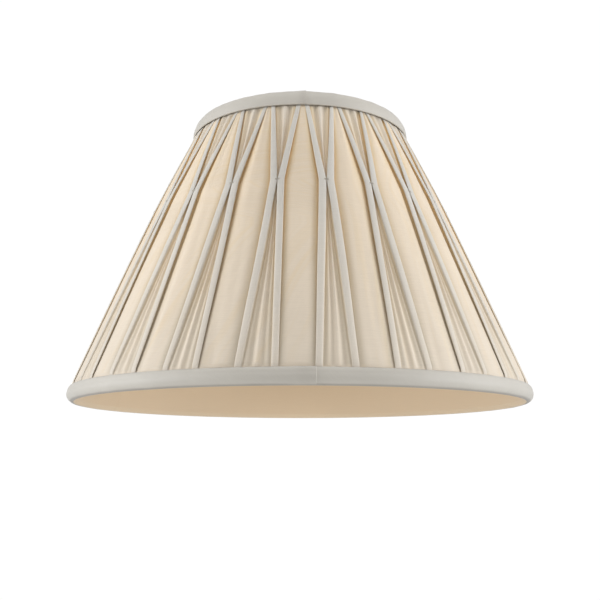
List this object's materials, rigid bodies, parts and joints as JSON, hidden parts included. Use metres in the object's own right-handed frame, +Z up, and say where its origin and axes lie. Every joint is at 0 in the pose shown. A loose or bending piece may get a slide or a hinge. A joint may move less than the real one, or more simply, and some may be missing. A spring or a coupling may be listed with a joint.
{
  "type": "lamp shade",
  "caption": "Tapered pinch-pleated fabric lamp shade with trimmed rims, a smooth lining, a wire frame and a reversible gimbal fitter.",
  "frame": {"origin": "centre of the circle that the bottom rim stands on", "axes": "+Z up through both rings; the gimbal's pivots lie on the X axis; the front is -Y"},
  "size_m": [0.255, 0.255, 0.165],
  "materials": {
    "cover_silk": "silky slub weave, soft sheen",
    "trim_silk": "silky bias-cut band",
    "lining_cloth": "smooth matte champagne lining",
    "cotton_tape": "plain woven tape",
    "thread": "sewing thread",
    "coated_wire": "white powder coat on steel",
    "rivet_steel": "bright plated rivet",
    "white_plastic": "moulded, satin"
  },
  "bodies": {
    "shade": {"bottom_ring": "coated_wire", "top_ring": "coated_wire", "bottom_ring_tape": "cotton_tape", "top_ring_tape": "cotton_tape", "strut_1": "coated_wire", "strut_2": "coated_wire", "strut_3": "coated_wire", "strut_4": "coated_wire", "strut_5": "coated_wire", "strut_6": "coated_wire", "strut_7": "coated_wire", "strut_8": "coated_wire", "gimbal_bracket_right": "coated_wire", "gimbal_bracket_left": "coated_wire", "pivot_rivet_right": "rivet_steel", "pivot_rivet_left": "rivet_steel", "lining_panel_back": "lining_cloth", "lining_panel_front": "lining_cloth", "cover_panel_right": "cover_silk", "cover_panel_left": "cover_silk", "bottom_trim": "trim_silk", "top_trim": "trim_silk", "pinch_stitch_01": "thread", "pinch_stitch_02": "thread", "pinch_stitch_03": "thread", "pinch_stitch_04": "thread", "pinch_stitch_05": "thread", "pinch_stitch_06": "thread", "pinch_stitch_07": "thread", "pinch_stitch_08": "thread", "pinch_stitch_09": "thread", "pinch_stitch_10": "thread", "pinch_stitch_11": "thread", "pinch_stitch_12": "thread", "pinch_stitch_13": "thread", "pinch_stitch_14": "thread", "pinch_stitch_15": "thread", "pinch_stitch_16": "thread", "pinch_stitch_17": "thread", "pinch_stitch_18": "thread", "pinch_stitch_19": "thread", "pinch_stitch_20": "thread", "pinch_stitch_21": "thread", "pinch_stitch_22": "thread"},
    "gimbal": {"gimbal_arm_right": "coated_wire", "gimbal_arm_left": "coated_wire", "carrier_ring": "coated_wire"},
    "reducer": {"reducer_ring": "white_plastic"}
  },
  "joints": [
    {"name": "gimbal_pivot", "type": "hinge", "parent": "shade", "child": "gimbal", "pos_m": [0, 0, 0.157], "axis": [1, 0, 0], "continuous": true},
    {"name": "reducer_lift", "type": "slide", "parent": "gimbal", "child": "reducer", "axis": [0, 0, 1], "range_m": [0, 0.06]}
  ]
}
